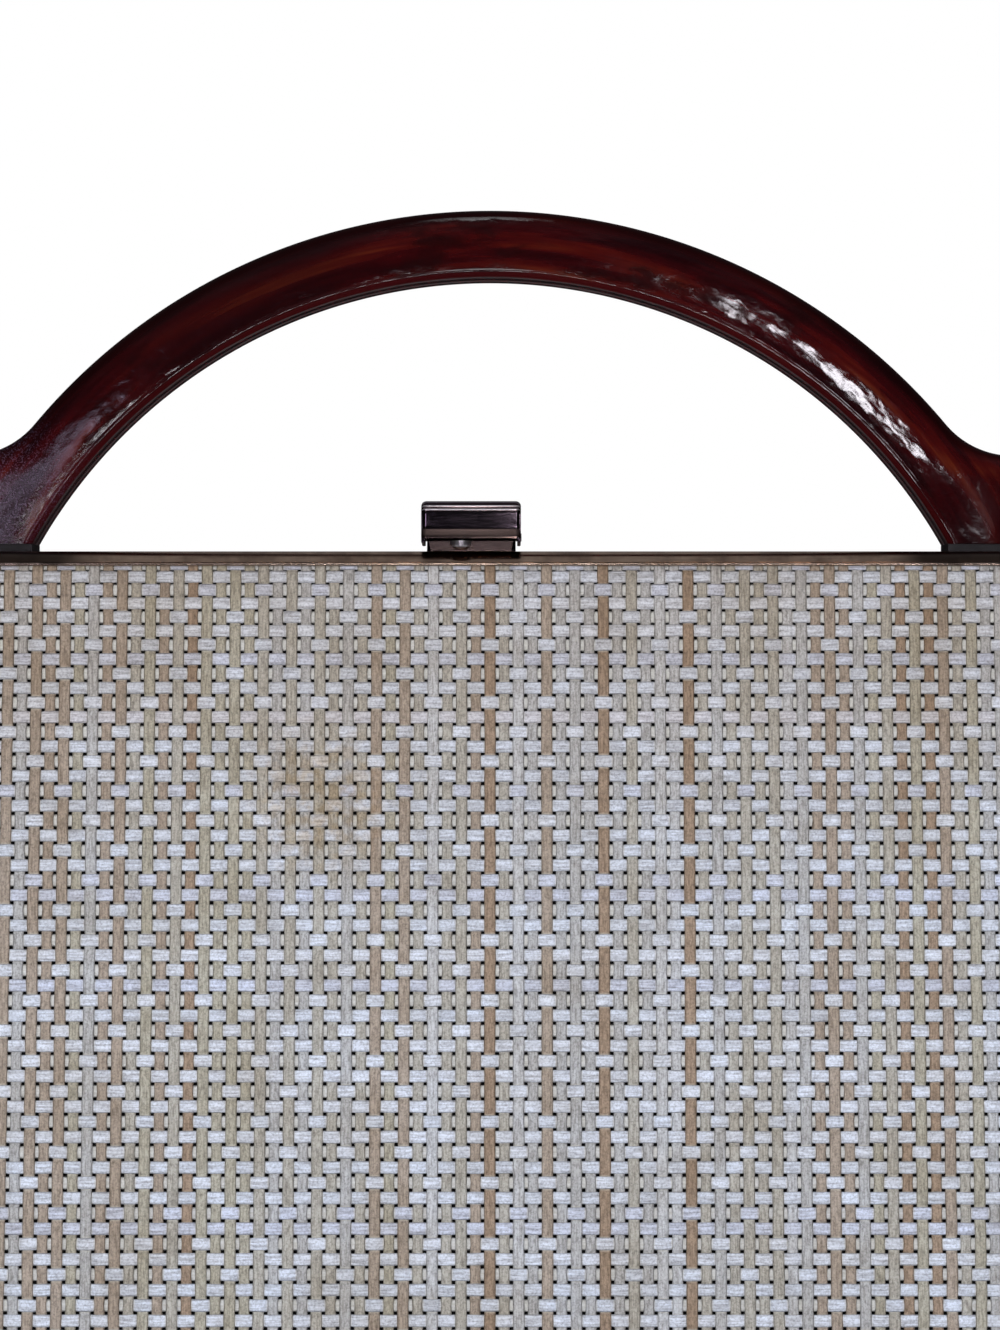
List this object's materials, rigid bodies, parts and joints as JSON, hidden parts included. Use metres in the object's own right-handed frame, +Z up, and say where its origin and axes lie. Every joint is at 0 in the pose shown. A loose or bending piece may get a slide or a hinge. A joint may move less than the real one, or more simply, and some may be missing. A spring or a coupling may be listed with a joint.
{
  "type": "basket box bag",
  "caption": "Rigid woven straw box bag with slim metal frames, a drop-forward hinged front, a flip clasp and an arched glossy handle on flared feet.",
  "frame": {"origin": "centre of the flat underside", "axes": "+Z up, -Y towards the front with the clasp, +X to the right as seen from the front"},
  "size_m": [0.264, 0.0725, 0.2745],
  "materials": {
    "straw": "matt woven straw",
    "board": "matt black",
    "frame_brass": "aged satin",
    "dark_metal": "polished gunmetal",
    "resin": "polished",
    "lining_cloth": "matt",
    "base_hide": "satin"
  },
  "bodies": {
    "case": {"rear_panel": "straw", "rear_board": "board", "rear_frame": "frame_brass", "rim_frame": "frame_brass", "side_panel_left": "straw", "side_panel_right": "straw", "side_board_left": "board", "side_board_right": "board", "base_panel": "base_hide", "sill_bar": "frame_brass", "hinge_pins": "dark_metal", "top_plate": "frame_brass", "case_lining": "lining_cloth", "handle": "resin", "seat_plates": "dark_metal", "handle_screws": "dark_metal", "clasp_bracket": "dark_metal", "clasp_pin": "dark_metal", "bracket_rivets": "frame_brass"},
    "front": {"front_panel": "straw", "front_board": "board", "front_frame": "frame_brass", "front_lining": "lining_cloth", "catch_plate": "dark_metal", "catch_stud": "dark_metal", "catch_rivets": "frame_brass"},
    "flap": {"clasp_flap": "dark_metal", "clasp_spring": "frame_brass"}
  },
  "joints": [
    {"name": "front_hinge", "type": "hinge", "parent": "case", "child": "front", "pos_m": [0, -0.035, 0.005], "axis": [1, 0, 0], "range_deg": [0, 70]},
    {"name": "clasp_hinge", "type": "hinge", "parent": "case", "child": "flap", "pos_m": [-0.0043, -0.0005, 0.1995], "axis": [-1, 0, 0], "range_deg": [0, 100]}
  ]
}
